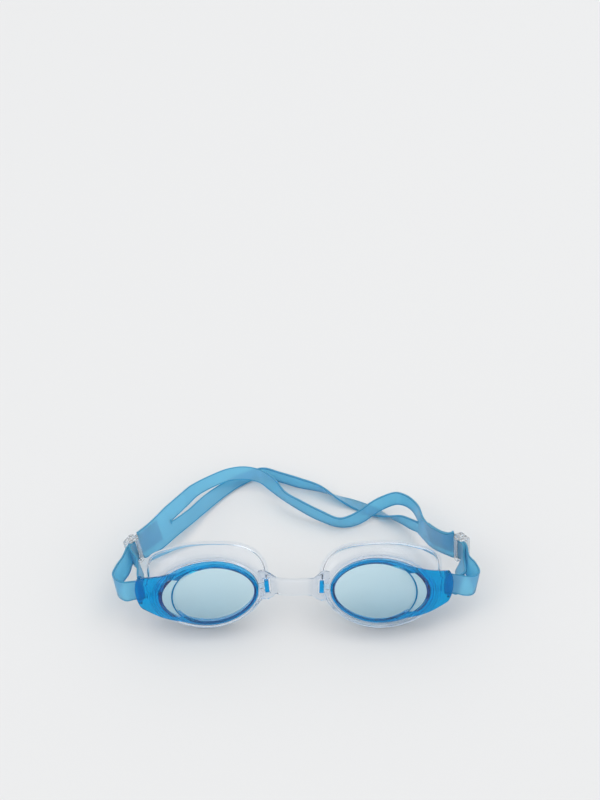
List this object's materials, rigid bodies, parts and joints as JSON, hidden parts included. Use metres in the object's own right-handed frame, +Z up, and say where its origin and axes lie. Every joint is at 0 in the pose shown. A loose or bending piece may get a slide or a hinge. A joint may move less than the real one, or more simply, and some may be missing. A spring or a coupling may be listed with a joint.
{
  "type": "swim goggles",
  "caption": "Swim goggles: tinted flat-window lenses in a soft clear frame, held by a split silicone strap with slide buckles.",
  "frame": {"origin": "centre of the bounding box on the floor plane, under the middle of the resting goggles", "axes": "+X from the viewer's left lens to the viewer's right lens, +Y from the lenses back to the head strap, +Z up; the lenses face -Y"},
  "size_m": [0.1816, 0.1162, 0.0368],
  "materials": {
    "clear_silicone": "smooth clear soft silicone",
    "tinted_lens": "polished blue polycarbonate",
    "strap_silicone": "satin translucent blue silicone",
    "clear_buckle": "polished clear plastic"
  },
  "bodies": {
    "left_side": {"left_gasket": "clear_silicone", "nose_bridge": "clear_silicone", "left_lens": "tinted_lens", "strap": "strap_silicone"},
    "right_side": {"right_gasket": "clear_silicone", "right_lens": "tinted_lens"},
    "left_buckle_body": {"left_buckle": "clear_buckle"},
    "right_buckle_body": {"right_buckle": "clear_buckle"}
  },
  "joints": [
    {"name": "bridge_flex", "type": "hinge", "parent": "left_side", "child": "right_side", "pos_m": [-0.0013, -0.0454, 0.0215], "axis": [0, 0, 1], "range_deg": [-15, 20], "stiffness_Nm_per_rad": 0.02, "deforming": ["nose_bridge", "strap"]},
    {"name": "left_buckle_slide", "type": "slide", "parent": "left_side", "child": "left_buckle_body", "axis": [-0.3549, -0.9126, 0.2028], "range_m": [0, 0.003]},
    {"name": "right_buckle_slide", "type": "slide", "parent": "right_side", "child": "right_buckle_body", "axis": [0.4006, -0.8814, 0.2504], "range_m": [0, 0.003]}
  ]
}
